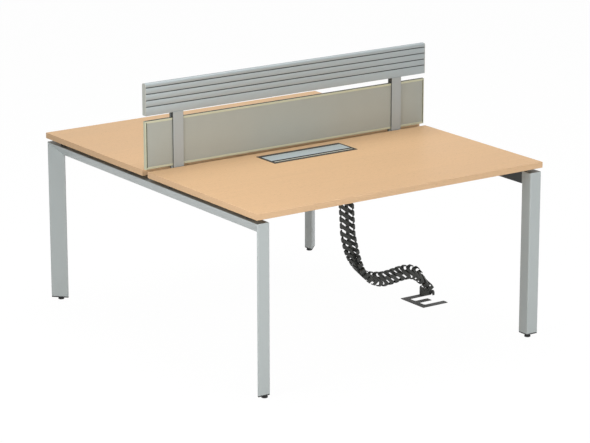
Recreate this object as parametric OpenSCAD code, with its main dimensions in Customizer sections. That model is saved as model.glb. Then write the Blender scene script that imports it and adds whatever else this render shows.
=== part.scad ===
// Two-person bench desk: two tops back to back on two portal end frames, with a shared
// screen, a slatted tool rail on two posts, two cable flaps, a tray and a cable spine.
// Origin: centre of the footprint, on the floor. X runs along the desk, -Y is the near
// user's side and Z is up. Millimetres.

/* [Tops] */
// Length of the desk
desk_l = 1400; // [1360:10:1600]
// Depth over both tops
desk_d = 1600; // [1500:10:1700]
// Height of the work surfaces
desk_h = 742; // [700:1:780]
// Thickness of a top
top_t = 25; // [24:1:30]
// Gap between the two tops
top_gap = 40; // [38:1:50]
// Thickness of the edge band
band_t = 2; // [1:0.5:3]

/* [End frames] */
// Width of the triangular tube, along the desk
leg_w = 55.5; // [50:0.5:62]
// Depth of the triangular tube, across the desk
leg_d = 55.5; // [48:0.5:60]
// Wall of the triangular tube
tube_wall = 2; // [1.5:0.5:2.5]
// Rounding of the square corner
heel_r = 5; // [4:0.5:8]
// Rounding of the two sharp corners
toe_r = 4; // [3.5:0.5:6]
// Distance from the end of the tops to the outer corner of a leg
end_overhang = 4; // [0:1:60]
// Distance from the long edge of a top to the outer face of a leg
side_overhang = 2; // [0:1:60]
// Height of the gap between an end beam and the tops
spacer_h = 15; // [10:1:20]
// Radius of a spacer
spacer_r = 13; // [10:1:16]

/* [Levelling feet] */
// Radius of a foot pad
foot_r = 13; // [11:0.5:16]
// Height of a foot pad
foot_h = 9; // [7:0.5:12]
// Gap between a foot pad and the end cap of its leg
foot_gap = 3; // [2.5:0.5:6]
// Thickness of the end cap below the leg
cap_t = 5; // [4:0.5:8]
// Radius of the threaded stem
stem_r = 4; // [3:0.5:5]
// Length of the stem above the pad
stem_l = 33; // [30:1:40]

/* [Stretchers] */
// Height of a stretcher tube
stretcher_h = 40; // [30:1:44]
// Thickness of a stretcher tube
stretcher_t = 20; // [15:1:25]
// Wall of a stretcher tube
stretcher_wall = 1.5; // [1:0.5:2.5]
// Distance of the outer stretchers from the middle of the desk
outer_stretcher_y = 600; // [450:10:650]
// Distance of the inner stretchers from the middle of the desk
inner_stretcher_y = 215; // [210:1:230]

/* [Cable tray] */
// Gap between each end of the tray and the bridge of the post beside it
tray_clear = 18; // [13:1:68]
// Height of the tray
tray_h = 90; // [80:1:105]
// Thickness of the tray sheet
tray_t = 1.5; // [1:0.5:2]

/* [Screen] */
// Height of the screen
panel_h = 198; // [150:1:300]
// Thickness of the screen's edge frame
panel_t = 16; // [15:1:20]
// Visible width of the edge frame
panel_bead = 9; // [8:0.5:14]
// Depth of the fabric below the face of the edge frame
fabric_recess = 1.5; // [1:0.5:2.5]
// Thickness of the fabric
fabric_t = 1; // [0.5:0.5:1.5]
// Gap between the screen and the work surface
panel_lift = 6; // [3:0.5:12]

/* [Posts] */
// Width of a post
post_w = 49; // [44:1:56]
// Thickness of each half of a post
post_t = 6; // [4:0.5:6]
// Distance of a post from the end of the desk
post_inset = 152; // [140:1:154]

/* [Tool rail] */
// Height of the tool rail
toolrail_h = 131; // [131:1:150]
// Thickness of the tool rail
toolrail_t = 26; // [26:1:30]
// Gap between the screen and the tool rail
toolrail_gap = 23; // [12:1:40]
// Opening of a hook groove
groove_open = 3.5; // [3:0.1:3.8]
// Depth of a hook groove
groove_depth = 6; // [5:0.5:6]
// Distance between hook grooves
groove_pitch = 26; // [24:0.5:27]
// Distance of the top groove below the top of the rail
groove_first = 17; // [16:0.5:20]
// Bulge of the bands between the grooves
band_bulge = 0.8; // [0.4:0.1:1.2]
// Rounding of the top of the rail
toolrail_round = 7; // [4:0.5:8]

/* [Cable flaps] */
// Length of a flap frame
flap_l = 415; // [360:1:440]
// Depth of a flap frame
flap_d = 134; // [125:1:134]
// Distance of a flap frame from the middle of the desk
flap_back = 67; // [60:1:67]
// Thickness of the frame's flange above the top
flange_t = 2; // [1.5:0.5:3]
// Depth of the frame below the work surface
skirt_h = 18; // [16:1:22]
// Wall of the frame below the work surface
skirt_t = 3; // [2.5:0.5:4]
// Width of the flange at the ends
flange_end = 10; // [9.5:0.5:12]
// Width of the flange behind the lid
flange_rear = 19; // [16:0.5:22]
// Width of the flange at the user's side
flange_front = 10; // [9.5:0.5:12]
// Width of each cable slot
flap_slot = 6; // [5:0.5:8]
// Width of the strip between the cable slots
strip_w = 13; // [10:0.5:15]
// Thickness of the lid
lid_t = 3; // [2:0.5:3.5]
// Radius of the lid's hinge barrel
barrel_r = 3.5; // [3.5:0.1:4]
// Radius of a hinge pin
pin_r = 1.5; // [1:0.1:1.8]

/* [Cable spine] */
// Distance between the ball joints of a link
link_pitch = 30; // [30:0.5:34]
// Width of a link
link_w = 65; // [58:1:66]
// Depth of a link
link_d = 26; // [24:1:30]
// Wall of a link
link_t = 3; // [2.5:0.1:3.5]
// Gap between neighbouring links
link_gap = 9; // [8.5:0.5:10]
// How far one side of a link stands higher, and the other lower, than its middle
link_step = 18; // [12:1:18]
// Radius of the balls that join the links
ball_r = 5.5; // [5:0.1:5.5]
// Distance of the spine from the middle plane of the desk, towards the near user
spine_y = 87; // [75:1:95]
// Distance of the spine's foot from the end of the desk
spine_inset = 30; // [30:1:60]
// Height of the lowest ball joint
foot_pivot_h = 45; // [44:0.5:50]

/* [Floor plate] */
// Thickness of the floor plate
plate_t = 3; // [2:0.5:5]
// Width of an arm of the floor plate
arm_w = 27; // [24:1:36]
// Gap between the arms
arm_gap = 39.5; // [30:0.5:44]
// Width of the bar that joins the arms
plate_bar = 27; // [20:1:40]
// Distance from the middle of the spine's foot to the far edge of the bar
plate_reach = 126.5; // [110:0.5:150]
// Reach of the near arm beyond the bar
near_arm = 104; // [80:1:130]
// Reach of the middle arm beyond the bar
middle_arm = 68; // [50:1:90]
// Rounding of the closed ends of the slots
slot_r = 9; // [6:0.5:10]

/* [Hidden] */
$fn = 48;
// Overrun of every cut
over = 1;
// Running clearance of the foot stems and hinge pins
run_gap = 0.05;
// Clearance of bolts, screws and spigots in their holes
hole_gap = 0.2;
// Clearance of a piece that is set into another
fit_gap = 0.3;

// heights
under_z = desk_h - top_t;
frame_z = under_z - spacer_h;
leg_z = foot_h + foot_gap + cap_t;
panel_z = desk_h + panel_lift;
rail_z = panel_z + panel_h + toolrail_gap;
rail_top_z = rail_z + toolrail_h;
stretcher_z = under_z - stretcher_h;
tray_rise = 5;
tray_z = under_z - tray_rise - tray_h;

// end frames
heel_x = desk_l / 2 - end_overhang - leg_w;
heel_y = desk_d / 2 - side_overhang;
toe_run = leg_w - 2 * toe_r;
toe_fall = leg_d - 2 * toe_r;
toe_len = norm([toe_run, toe_fall]);
toe_normal = [toe_fall / toe_len, toe_run / toe_len];
// a foot stands on the centre line of the triangle, this far in from both faces
foot_in = (leg_w + leg_d - norm([leg_w, leg_d])) / 2;
plug_h = 20;
plug_r = 9;
cap_edge = 0.5;
cap_steps = 6;
pad_waist = 10;
pad_foot_h = 6;

// spacers between the end beams and the tops
spigot_r = 4;
spigot_up = 10;
spigot_down = 6;
spacer_x = heel_x + leg_w / 2;
spacer_edge = 40;
spacer_mid_y = 150;
spacer_ys = [heel_y - leg_d - spacer_edge, spacer_mid_y];

// stretchers and their fastenings
endplate_t = 4;
endplate_w = 68;
endplate_drop = 8;
endplate_top_gap = 2;
bolt_r = 3;
bolt_head_r = 5.5;
bolt_head_h = 4;
bolt_y = 24;
bolt_drop = 12;
bolt_reach = 8;
stretcher_ys = [-outer_stretcher_y, -inner_stretcher_y, inner_stretcher_y, outer_stretcher_y];
stretcher_l = 2 * (heel_x - endplate_t);
screw_r = 2.5;
screw_head_r = 5;
screw_head_h = 2.5;
screw_bite = 12;
screw_x_shares = [-0.36, -0.14, 0.14, 0.36];
screw_xs = [for (s = screw_x_shares) s * desk_l];

// cable tray
tray_half = inner_stretcher_y - stretcher_t / 2;
tray_screw_x_shares = [-0.4, 0, 0.4];
tray_screw_z = stretcher_z + stretcher_h / 2;
tray_screw_bite = 8;

// screen
frame_base = 3;
board_t = panel_t - 2 * (fabric_recess + fabric_t);
board_l = desk_l - 2 * frame_base;
board_h = panel_h - 2 * frame_base;
groove_half = panel_t / 2 - fabric_recess;

// posts
post_x = desk_l / 2 - post_inset;
post_d = panel_t + 2 * post_t;
core_w = 44;
bridge_t = 6;
bridge_w = 60;
tray_l = 2 * (post_x - bridge_w / 2 - tray_clear);
bridge_tab = 4;
bridge_bolt_x = 18;
tongue_w = 36;
tongue_h = 70;
post_bolt_zs = [stretcher_z + 12, stretcher_z + 30];
post_bolt_head_h = 4;
post_pin_r = 3;
post_pin_in = 3;

// tool rail
chamber_half = 5;
chamber_floor = 6;
chamber_top = 25;
tongue_half = chamber_half - fit_gap;
rail_wall = 2.5;
hook_rise = 5;
hook_wall = 3;
groove_count = 4;
rail_cap_t = 2.5;
rail_plug = 12;
rail_l = desk_l - 2 * rail_cap_t;
function groove_z(i) = rail_top_z - groove_first - i * groove_pitch;
// each band runs from the groove below it, or the foot of the rail, to the groove above
band_tops = concat([rail_top_z], [for (i = [0:groove_count - 1]) groove_z(i) - groove_open / 2]);
band_feet = concat([for (i = [0:groove_count - 1]) groove_z(i) + groove_open / 2], [rail_z]);

// cable flaps, measured from the middle plane of the desk towards the user
flange_cover = 6;
cut_play = 0.5;
lid_gap = 0.5;
lid_rear_gap = 1;
ledge_w = 4;
ledge_t = 7;
sill_w = 8;
strip_t = 6;
strip_drop = 1;
strip_end_gap = 0.4;
flap_top_z = desk_h + flange_t;
flap_far = flap_back + flap_d;
bay_rear = flap_back + flange_rear;
bay_front = flap_far - flange_front;
lid_half = flap_l / 2 - flange_end - lid_gap;
lid_rear = bay_rear + lid_rear_gap;
lid_front = bay_front - 2 * flap_slot - strip_w;
barrel_y = lid_rear + barrel_r;
barrel_z = flap_top_z - barrel_r;
skirt_half = flap_l / 2 - flange_cover - cut_play;
ledge_z = flap_top_z - lid_t;
pin_bite = 8;

// cable spine: ball 0 is at the tray and the last ball is at the foot. A link's lean is
// its angle from the plumb line towards the end of the desk, and its twist is its turn
// about its own length, both in degrees. The hanging links share the first values; the
// others follow from the top down: they turn level and edge-on, run level with their
// width upright, and drop to the foot.
hang_lean = 4;
hang_twist = -35;
low_leans = [11, 14, 15, 19, 26, 31, 40, 51, 65, 75,
    84, 92, 96, 97, 92, 82, 67, 53, 43, 37];
low_twists = [-37, -42, -50, -62, -75, -88, -99, -108, -119, -134,
    -149, -162, -169, -167, -156, -140, -143, -145, -124, -96];
low_links = len(low_leans);
function low_drop(i) = i == low_links ? 0 : cos(low_leans[i]) + low_drop(i + 1);
bracket_t = 3;
bracket_least = 21;
hang_top_z = tray_z - bracket_t - bracket_least;
hang_links = floor((hang_top_z - foot_pivot_h - link_pitch * low_drop(0))
    / (link_pitch * cos(hang_lean)));
spine_links = hang_links + low_links;
function lean(i) = i < hang_links ? hang_lean : low_leans[i - hang_links];
function twist(i) = i < hang_links ? hang_twist : low_twists[i - hang_links];
spine_x = desk_l / 2 - spine_inset;
function pivot_x(i) = i == spine_links ? spine_x : pivot_x(i + 1) - link_pitch * sin(lean(i));
function pivot_z(i) = i == spine_links ? foot_pivot_h : pivot_z(i + 1) + link_pitch * cos(lean(i));
pivot_x_top = pivot_x(0);
pivot_z_top = pivot_z(0);
link_h = link_pitch - link_gap;
core_half = 8;
lip = 4;
link_corner = 6;
lobe_corner = 4;
flat_half = 20;
seat_rise = 0.5;
ball_flat = 0.5;
collar_r = core_half - 0.5;
collar_room = 1.5;
neck_r = 3.5;
neck_room = 4;
foot_step = 10;
foot_rise = 37;
foot_neck = 14;
foot_lean = low_leans[low_links - 1];
passage_w = 50;
passage_d = 28;
flange_out = 8;
bracket_screw_r = 2;
plate_back = 21.5;
rear_reach = 20;

// mirrors a piece drawn in the right rear quarter into another quarter
module quarter(sx, sy) {
    mirror([sx < 0 ? 1 : 0, 0, 0])
        mirror([0, sy < 0 ? 1 : 0, 0])
            children();
}

// extrudes an outline drawn in (y, z) along X, centred
module along_x(length) {
    translate([-length / 2, 0, 0])
        rotate([90, 0, 90])
            linear_extrude(length)
                children();
}

// box given by its lowest and highest corners
module block(low, high) {
    translate(low)
        cube(high - low);
}

// Tops

// outline of the board inside its bands, rear top
module board_plan() {
    near = top_gap / 2 + band_t;
    far = desk_d / 2 - band_t;
    translate([-desk_l / 2 + band_t, near])
        square([desk_l - 2 * band_t, far - near]);
}

module flap_cutout() {
    half = flap_l / 2 - flange_cover;
    block([-half, flap_back + flange_cover, under_z - over],
        [half, flap_far - flange_cover, desk_h + over]);
}

module rear_top_holes() {
    for (sx = [-1, 1], y = spacer_ys)
        translate([sx * spacer_x, y, under_z - over])
            cylinder(r = spigot_r + hole_gap, h = spigot_up + hole_gap + over);
    for (x = screw_xs, y = [inner_stretcher_y, outer_stretcher_y])
        translate([x, y, under_z - over])
            cylinder(r = screw_r + hole_gap, h = screw_bite + hole_gap + over);
}

module desktop(sy) {
    color([0.89, 0.75, 0.58])
        quarter(1, sy)
            difference() {
                translate([0, 0, under_z])
                    linear_extrude(top_t)
                        board_plan();
                flap_cutout();
                rear_top_holes();
            }
}

// four strips: the long ones run the full length and the short ones lie between them
module edge_band(sy) {
    near = top_gap / 2;
    far = desk_d / 2;
    half = desk_l / 2;
    color([0.82, 0.68, 0.5])
        quarter(1, sy) {
            for (y = [near, far - band_t])
                block([-half, y, under_z], [half, y + band_t, desk_h]);
            for (x = [-half, half - band_t])
                block([x, near + band_t, under_z], [x + band_t, far - band_t, desk_h]);
        }
}

module desktop_front() desktop(-1);
module desktop_rear() desktop(1);
module edge_band_front() edge_band(-1);
module edge_band_rear() edge_band(1);

// End frames

// rounded right triangle with its square corner at the origin, drawn smaller by inset
module frame_section(inset) {
    heel = heel_r - inset;
    toe = toe_r - inset;
    toe_a = [leg_w - toe_r, toe_r];
    toe_b = [toe_r, leg_d - toe_r];
    polygon([[heel_r, inset], [leg_w - toe_r, inset], toe_a + toe * toe_normal,
        toe_b + toe * toe_normal, [inset, leg_d - toe_r], [inset, heel_r]]);
    translate([heel_r, heel_r])
        circle(r = heel);
    translate(toe_a)
        circle(r = toe);
    translate(toe_b)
        circle(r = toe);
}

module frame_tube_section() {
    difference() {
        frame_section(0);
        frame_section(tube_wall);
    }
}

// everything above the mitre plane at the rear top corner
module above_mitre() {
    reach = leg_d + over;
    along_x(desk_l + 2 * over)
        polygon([[heel_y + over, frame_z + over], [heel_y - reach, frame_z - reach],
            [heel_y - reach, frame_z + 2 * over]]);
}

// everything outside the mitre plane at the rear top corner
module outside_mitre() {
    reach = leg_d + over;
    along_x(desk_l + 2 * over)
        polygon([[heel_y + over, frame_z + over], [heel_y - reach, frame_z - reach],
            [heel_y + 2 * over, frame_z - reach]]);
}

module leg(sx, sy) {
    color([0.72, 0.75, 0.75])
        quarter(sx, sy)
            difference() {
                translate([heel_x, heel_y, leg_z])
                    mirror([0, 1, 0])
                        linear_extrude(frame_z - leg_z)
                            frame_tube_section();
                above_mitre();
            }
}

module leg_front_left() leg(-1, -1);
module leg_front_right() leg(1, -1);
module leg_rear_left() leg(-1, 1);
module leg_rear_right() leg(1, 1);

module end_beam(sx) {
    color([0.68, 0.71, 0.71])
        quarter(sx, 1)
            difference() {
                translate([heel_x, heel_y, frame_z])
                    rotate([90, 0, 0])
                        linear_extrude(2 * heel_y)
                            mirror([0, 1, 0])
                                frame_tube_section();
                for (sy = [-1, 1])
                    quarter(1, sy) {
                        outside_mitre();
                        for (y = spacer_ys)
                            translate([spacer_x, y, frame_z - tube_wall - over])
                                cylinder(r = spigot_r + hole_gap, h = tube_wall + 2 * over);
                    }
                for (y = stretcher_ys, dy = [-bolt_y, bolt_y])
                    translate([heel_x - over, y + dy, frame_z - bolt_drop])
                        rotate([0, 90, 0])
                            cylinder(r = bolt_r + hole_gap, h = tube_wall + 2 * over);
            }
}

module end_beam_left() end_beam(-1);
module end_beam_right() end_beam(1);

// points of an arc from angle a to angle b
function arc(centre, r, a, b) =
    [for (i = [0:cap_steps]) let (t = a + (b - a) * i / cap_steps) centre + r * [cos(t), sin(t)]];

// outline of an end cap, a little smaller than the tube
module cap_outline() {
    lean = atan2(toe_run, toe_fall);
    toe = toe_r - cap_edge;
    polygon(concat(arc([heel_r, heel_r], heel_r - cap_edge, 180, 270),
        arc([leg_w - toe_r, toe_r], toe, -90, lean),
        arc([toe_r, leg_d - toe_r], toe, lean, 180)));
}

// plate under each leg with a plug inside the tube, drilled for the stem of the foot
module leg_end_caps() {
    color([0.1, 0.1, 0.1])
        for (sx = [-1, 1], sy = [-1, 1])
            quarter(sx, sy)
                difference() {
                    union() {
                        translate([heel_x, heel_y, leg_z - cap_t])
                            mirror([0, 1, 0])
                                linear_extrude(cap_t)
                                    cap_outline();
                        translate([heel_x + foot_in, heel_y - foot_in, leg_z - over])
                            cylinder(r = plug_r, h = plug_h + over);
                    }
                    translate([heel_x + foot_in, heel_y - foot_in, leg_z - cap_t - over])
                        cylinder(r = stem_r + run_gap, h = cap_t + plug_h + 2 * over);
                }
}

// round pad with its threaded stem
module foot(sx, sy) {
    color([0.08, 0.08, 0.08])
        quarter(sx, sy)
            translate([heel_x + foot_in, heel_y - foot_in, 0])
                rotate_extrude()
                    polygon([[0, 0], [foot_r, 0], [foot_r, pad_foot_h], [pad_waist, foot_h],
                        [stem_r, foot_h], [stem_r, foot_h + stem_l], [0, foot_h + stem_l]]);
}

module foot_front_left() foot(-1, -1);
module foot_front_right() foot(1, -1);
module foot_rear_left() foot(-1, 1);
module foot_rear_right() foot(1, 1);

// discs with a spigot into the beam below and one into the top above
module desktop_spacers() {
    color([0.12, 0.12, 0.12])
        for (sx = [-1, 1], sy = [-1, 1], y = spacer_ys)
            quarter(sx, sy)
                translate([spacer_x, y, frame_z])
                    rotate_extrude()
                        polygon([[0, -spigot_down], [spigot_r, -spigot_down], [spigot_r, 0],
                            [spacer_r, 0], [spacer_r, spacer_h], [spigot_r, spacer_h],
                            [spigot_r, spacer_h + spigot_up], [0, spacer_h + spigot_up]]);
}

// Stretchers

module stretcher(y) {
    half = stretcher_t / 2;
    color([0.62, 0.65, 0.65])
        difference() {
            along_x(stretcher_l)
                translate([y, stretcher_z])
                    difference() {
                        translate([-half, 0])
                            square([stretcher_t, stretcher_h]);
                        translate([stretcher_wall - half, stretcher_wall])
                            square([stretcher_t - 2 * stretcher_wall, stretcher_h - 2 * stretcher_wall]);
                    }
            for (x = screw_xs)
                translate([x, y, stretcher_z - over])
                    cylinder(r = screw_r + hole_gap, h = stretcher_h + 2 * over);
            // holes towards the middle of the desk for the tray and the post bridges
            if (abs(y) == inner_stretcher_y) {
                side = y - sign(y) * (half + over);
                for (s = tray_screw_x_shares)
                    translate([s * tray_l, side, tray_screw_z])
                        rotate([-90 * sign(y), 0, 0])
                            cylinder(r = screw_r + hole_gap, h = stretcher_wall + 2 * over);
                for (sx = [-1, 1], dx = [-bridge_bolt_x, bridge_bolt_x])
                    translate([sx * post_x + dx, side, tray_screw_z])
                        rotate([-90 * sign(y), 0, 0])
                            cylinder(r = bolt_r + hole_gap, h = stretcher_wall + 2 * over);
            }
        }
}

module stretcher_front_outer() stretcher(-outer_stretcher_y);
module stretcher_front_inner() stretcher(-inner_stretcher_y);
module stretcher_rear_inner() stretcher(inner_stretcher_y);
module stretcher_rear_outer() stretcher(outer_stretcher_y);

// plates welded to the ends of the stretchers and bolted to the end beams
module stretcher_end_plates() {
    color([0.62, 0.65, 0.65])
        for (sx = [-1, 1], y = stretcher_ys)
            quarter(sx, 1)
                difference() {
                    block([heel_x - endplate_t, y - endplate_w / 2, stretcher_z - endplate_drop],
                        [heel_x, y + endplate_w / 2, under_z - endplate_top_gap]);
                    for (dy = [-bolt_y, bolt_y])
                        translate([heel_x - endplate_t - over, y + dy, frame_z - bolt_drop])
                            rotate([0, 90, 0])
                                cylinder(r = bolt_r + hole_gap, h = endplate_t + 2 * over);
                }
}

// hexagon bolt along +Z with its head below z = 0
module bolt(length) {
    translate([0, 0, -bolt_head_h])
        cylinder(r = bolt_head_r, h = bolt_head_h, $fn = 6);
    cylinder(r = bolt_r, h = length);
}

// screw along +Z with its head below z = 0
module screw(length) {
    translate([0, 0, -screw_head_h])
        cylinder(r = screw_head_r, h = screw_head_h);
    cylinder(r = screw_r, h = length);
}

module stretcher_bolts() {
    color([0.75, 0.75, 0.76])
        for (sx = [-1, 1], y = stretcher_ys, dy = [-bolt_y, bolt_y])
            quarter(sx, 1)
                translate([heel_x - endplate_t, y + dy, frame_z - bolt_drop])
                    rotate([0, 90, 0])
                        bolt(endplate_t + tube_wall + bolt_reach);
}

module stretcher_screws() {
    color([0.75, 0.75, 0.76])
        for (x = screw_xs, y = stretcher_ys)
            translate([x, y, stretcher_z])
                screw(stretcher_h + screw_bite);
}

// Cable tray

module passage(z0, z1) {
    translate([pivot_x_top, -spine_y, 0])
        block([-passage_w / 2, -passage_d / 2, z0], [passage_w / 2, passage_d / 2, z1]);
}

module bracket_screw_places() {
    for (sx = [-1, 1], sy = [-1, 1])
        translate([pivot_x_top + sx * (passage_w / 2 + flange_out / 2),
            sy * (passage_d / 2 + flange_out / 2) - spine_y, 0])
            children();
}

module cable_tray() {
    color([0.68, 0.7, 0.7])
        difference() {
            along_x(tray_l)
                polygon([[-tray_half, tray_z], [tray_half, tray_z],
                    [tray_half, tray_z + tray_h], [tray_half - tray_t, tray_z + tray_h],
                    [tray_half - tray_t, tray_z + tray_t], [tray_t - tray_half, tray_z + tray_t],
                    [tray_t - tray_half, tray_z + tray_h], [-tray_half, tray_z + tray_h]]);
            for (s = tray_screw_x_shares)
                translate([s * tray_l, -tray_half - over, tray_screw_z])
                    rotate([-90, 0, 0])
                        cylinder(r = screw_r + hole_gap, h = 2 * (tray_half + over));
            passage(tray_z - over, tray_z + tray_t + over);
            bracket_screw_places()
                translate([0, 0, tray_z - over])
                    cylinder(r = bracket_screw_r + hole_gap, h = tray_t + 2 * over);
        }
}

// six screws into the stretchers and four that hold the bracket of the spine
module tray_screws() {
    color([0.75, 0.75, 0.76]) {
        for (sy = [-1, 1], s = tray_screw_x_shares)
            quarter(1, sy)
                translate([s * tray_l, tray_half - tray_t, tray_screw_z])
                    rotate([-90, 0, 0])
                        screw(tray_t + tray_screw_bite);
        bracket_screw_places()
            translate([0, 0, tray_z + tray_t]) {
                cylinder(r = 2 * bracket_screw_r, h = bracket_screw_r);
                translate([0, 0, -tray_t - bracket_t])
                    cylinder(r = bracket_screw_r, h = tray_t + bracket_t + bracket_screw_r / 2);
            }
    }
}

// Posts

module post_bolt_holes(sx, length, r, zs) {
    for (z = zs)
        translate([sx * post_x, -length / 2, z])
            rotate([-90, 0, 0])
                cylinder(r = r, h = length);
}

// height of the pins that join the upper cores to the posts
post_pin_z = panel_z + panel_h + toolrail_gap / 2;

// one half of a post, outside the face of the screen
module post_half(sx, sy) {
    color([0.66, 0.68, 0.66])
        quarter(1, sy)
            difference() {
                block([sx * post_x - post_w / 2, panel_t / 2, stretcher_z],
                    [sx * post_x + post_w / 2, post_d / 2, rail_z]);
                post_bolt_holes(sx, post_d + 2 * over, bolt_r + hole_gap, post_bolt_zs);
                post_bolt_holes(sx, panel_t + 2 * (post_pin_in + hole_gap), post_pin_r + hole_gap,
                    [post_pin_z]);
            }
}

module post_left_front() post_half(-1, -1);
module post_left_rear() post_half(-1, 1);
module post_right_front() post_half(1, -1);
module post_right_rear() post_half(1, 1);

// blocks between the halves, from the bridge up to the underside of the screen
module post_lower_cores() {
    color([0.6, 0.62, 0.62])
        for (sx = [-1, 1])
            difference() {
                block([sx * post_x - core_w / 2, -panel_t / 2, stretcher_z],
                    [sx * post_x + core_w / 2, panel_t / 2, panel_z]);
                post_bolt_holes(sx, panel_t + 2 * over, bolt_r + hole_gap, post_bolt_zs);
            }
}

// blocks between the halves above the screen, with a tongue up into the tool rail
module post_upper_cores() {
    color([0.3, 0.31, 0.31])
        for (sx = [-1, 1])
            difference() {
                union() {
                    block([sx * post_x - core_w / 2, -panel_t / 2, panel_z + panel_h],
                        [sx * post_x + core_w / 2, panel_t / 2, rail_z]);
                    block([sx * post_x - tongue_w / 2, -tongue_half, rail_z - over],
                        [sx * post_x + tongue_w / 2, tongue_half, rail_z + tongue_h]);
                }
                post_bolt_holes(sx, panel_t + 2 * over, post_pin_r + hole_gap, [post_pin_z]);
            }
}

// flat bars between the inner stretchers, turned up at both ends, that carry the posts
module post_bridges() {
    color([0.62, 0.65, 0.65])
        for (sx = [-1, 1])
            difference() {
                union() {
                    block([sx * post_x - bridge_w / 2, -tray_half, stretcher_z - bridge_t],
                        [sx * post_x + bridge_w / 2, tray_half, stretcher_z]);
                    for (sy = [-1, 1])
                        quarter(1, sy)
                            block([sx * post_x - bridge_w / 2, tray_half - bridge_tab, stretcher_z - over],
                                [sx * post_x + bridge_w / 2, tray_half,
                                    under_z - endplate_top_gap]);
                }
                for (dx = [-bridge_bolt_x, bridge_bolt_x])
                    translate([sx * post_x + dx, -tray_half - over, tray_screw_z])
                        rotate([-90, 0, 0])
                            cylinder(r = bolt_r + hole_gap, h = 2 * (tray_half + over));
            }
}

// headed pins through both halves and the lower core, with a nut at the far side
module post_bolts() {
    half = post_d / 2;
    color([0.75, 0.75, 0.76])
        for (sx = [-1, 1], z = post_bolt_zs)
            translate([sx * post_x, 0, z])
                rotate([-90, 0, 0]) {
                    translate([0, 0, -half])
                        cylinder(r = bolt_r, h = post_d);
                    for (s = [-1, 1])
                        translate([0, 0, s * (half + post_bolt_head_h / 2) - post_bolt_head_h / 2])
                            cylinder(r = bolt_head_r, h = post_bolt_head_h, $fn = 6);
                }
}

module post_pins() {
    color([0.75, 0.75, 0.76])
        for (sx = [-1, 1])
            post_bolt_holes(sx, panel_t + 2 * post_pin_in, post_pin_r, [post_pin_z]);
}

module bridge_bolts() {
    color([0.75, 0.75, 0.76])
        for (sx = [-1, 1], sy = [-1, 1], dx = [-bridge_bolt_x, bridge_bolt_x])
            quarter(1, sy)
                translate([sx * post_x + dx, tray_half - bridge_tab, tray_screw_z])
                    rotate([-90, 0, 0])
                        bolt(bridge_tab + stretcher_wall + bolt_reach);
}

// Screen

module panel_board() {
    color([0.55, 0.52, 0.45])
        block([-board_l / 2, -board_t / 2, panel_z + frame_base],
            [board_l / 2, board_t / 2, panel_z + frame_base + board_h]);
}

module panel_fabric(sy) {
    color([0.63, 0.63, 0.58])
        quarter(1, sy)
            block([-board_l / 2, board_t / 2, panel_z + frame_base],
                [board_l / 2, board_t / 2 + fabric_t, panel_z + frame_base + board_h]);
}

module panel_fabric_front() panel_fabric(-1);
module panel_fabric_rear() panel_fabric(1);

// channel of the edge frame in (across, along the outward direction), open towards the board
module frame_channel() {
    difference() {
        translate([-panel_t / 2, -panel_bead])
            square([panel_t, panel_bead]);
        translate([-groove_half, -panel_bead - over])
            square([2 * groove_half, panel_bead - frame_base + over]);
    }
}

// 45 degree cuts at the ends of a member of length run whose outer face is at z = 0
module mitre_ends(run) {
    for (s = [-1, 1])
        mirror([s < 0 ? 1 : 0, 0, 0])
            translate([run / 2, panel_t, 0])
                rotate([90, 0, 0])
                    linear_extrude(2 * panel_t)
                        polygon([[over, over], [over, -panel_bead - over],
                            [-panel_bead - over, -panel_bead - over]]);
}

module frame_member(run) {
    difference() {
        along_x(run)
            frame_channel();
        mitre_ends(run);
    }
}

module panel_frame_top() {
    color([0.8, 0.79, 0.7])
        translate([0, 0, panel_z + panel_h])
            frame_member(desk_l);
}

module panel_frame_bottom() {
    color([0.8, 0.79, 0.7])
        translate([0, 0, panel_z])
            rotate([180, 0, 0])
                frame_member(desk_l);
}

module panel_frame_ends() {
    color([0.8, 0.79, 0.7])
        for (s = [-1, 1])
            translate([s * desk_l / 2, 0, panel_z + panel_h / 2])
                rotate([0, s * 90, 0])
                    frame_member(panel_h);
}

// Tool rail

// a band between two grooves: flat behind and bulging at the face
module rail_band(foot, top) {
    chord = top - foot;
    bulge_r = chord * chord / (8 * band_bulge) + band_bulge / 2;
    intersection() {
        translate([0, foot])
            square([toolrail_t / 2, chord]);
        translate([toolrail_t / 2 - bulge_r, (foot + top) / 2])
            circle(r = bulge_r, $fn = 360);
    }
}

// half of the rail's outline at +y, with its grooves and the hook pockets behind them
module rail_half_section() {
    face = toolrail_t / 2 - band_bulge;
    difference() {
        union() {
            translate([0, rail_z])
                square([face, toolrail_h]);
            for (i = [0:groove_count])
                rail_band(band_feet[i], band_tops[i]);
        }
        for (i = [0:groove_count - 1])
            translate([0, groove_z(i)]) {
                translate([toolrail_t / 2 - groove_depth, -groove_open / 2])
                    square([groove_depth + over, groove_open]);
                translate([toolrail_t / 2 - groove_depth, 0])
                    square([groove_depth - hook_wall, groove_open / 2 + hook_rise]);
            }
        // rounding of the top edge
        translate([toolrail_t / 2 - toolrail_round, rail_top_z - toolrail_round])
            difference() {
                square(toolrail_round + over);
                circle(r = toolrail_round);
            }
    }
}

// the hollow of the rail: a chamber for the tongues, widened inside each band
module rail_hollow() {
    translate([-chamber_half, rail_z + chamber_floor])
        square([2 * chamber_half, toolrail_h - chamber_floor - chamber_top]);
    for (i = [1:groove_count]) {
        foot = i == groove_count ? rail_z + chamber_floor : band_feet[i] + hook_rise + rail_wall;
        top = band_tops[i] - rail_wall;
        half = toolrail_t / 2 - band_bulge - rail_wall;
        translate([-half, foot])
            square([2 * half, top - foot]);
    }
}

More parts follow.
